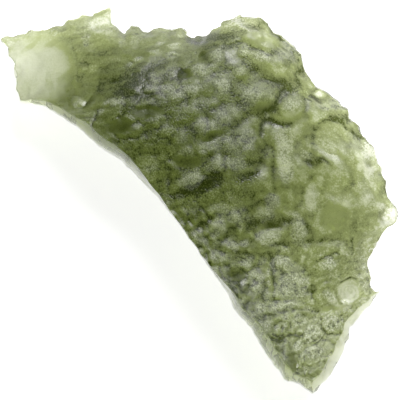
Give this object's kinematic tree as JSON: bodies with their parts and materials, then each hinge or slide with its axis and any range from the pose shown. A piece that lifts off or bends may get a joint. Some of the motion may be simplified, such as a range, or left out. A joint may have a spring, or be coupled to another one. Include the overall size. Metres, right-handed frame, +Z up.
{
  "type": "moldavite",
  "caption": "Curved shard of natural green glass with an etched, pitted skin, a ragged thin rim and smooth broken edges, resting flat on a small flat spot.",
  "frame": {"origin": "centre of the stone's box in plan, on the plane it rests on", "axes": "+Z up from the resting plane, the thin way; +X along the longer side of the plan, from the thin left end towards the right-hand rim; +Y towards the outer rim"},
  "size_m": [0.0396, 0.0384, 0.0083],
  "materials": {
    "green_glass": "clear olive green natural glass, satin on the etched skin and glossy on the breaks"
  },
  "bodies": {
    "root": {"moldavite": "green_glass"}
  },
  "joints": []
}
